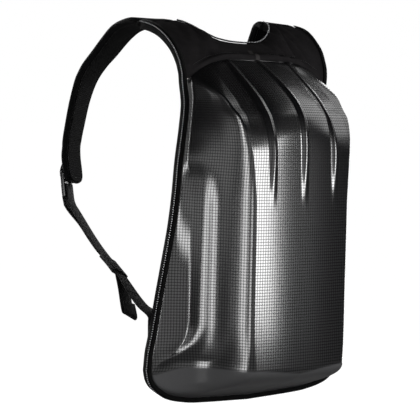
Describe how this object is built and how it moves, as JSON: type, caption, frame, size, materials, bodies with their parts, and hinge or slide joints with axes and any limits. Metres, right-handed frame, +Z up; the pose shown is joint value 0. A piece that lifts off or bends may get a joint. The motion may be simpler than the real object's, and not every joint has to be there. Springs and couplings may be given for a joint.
{
  "type": "hard shell backpack",
  "caption": "Moulded hard shell backpack with ribbed top, padded back panel, soft yoke and two padded shoulder straps with ladder locks and adjusting webbing.",
  "frame": {"origin": "midway between the places where the two shoulder straps sit on the wearer's shoulders", "axes": "+X to the wearer's right, +Y forward to the wearer with the shell facing -Y, +Z up"},
  "size_m": [0.3378, 0.3786, 0.4977],
  "materials": {
    "shell": "black gloss with an embossed grid of dots",
    "padding": "black air mesh",
    "neoprene": "matt black neoprene",
    "binding": "black binding tape",
    "piping": "silver piping with fine dots",
    "webbing": "ribbed grey-black webbing",
    "plastic": "black moulded plastic"
  },
  "bodies": {
    "root": {"hard_shell": "shell", "back_panel": "padding", "edge_binding": "binding", "edge_piping": "piping", "yoke": "neoprene", "neck_piping": "piping", "left_shoulder_strap": "padding", "left_ladder_lock": "plastic", "left_lock_anchor": "webbing", "left_webbing": "webbing", "left_keeper": "webbing", "right_shoulder_strap": "padding", "right_ladder_lock": "plastic", "right_lock_anchor": "webbing", "right_webbing": "webbing", "right_keeper": "webbing"}
  },
  "joints": []
}
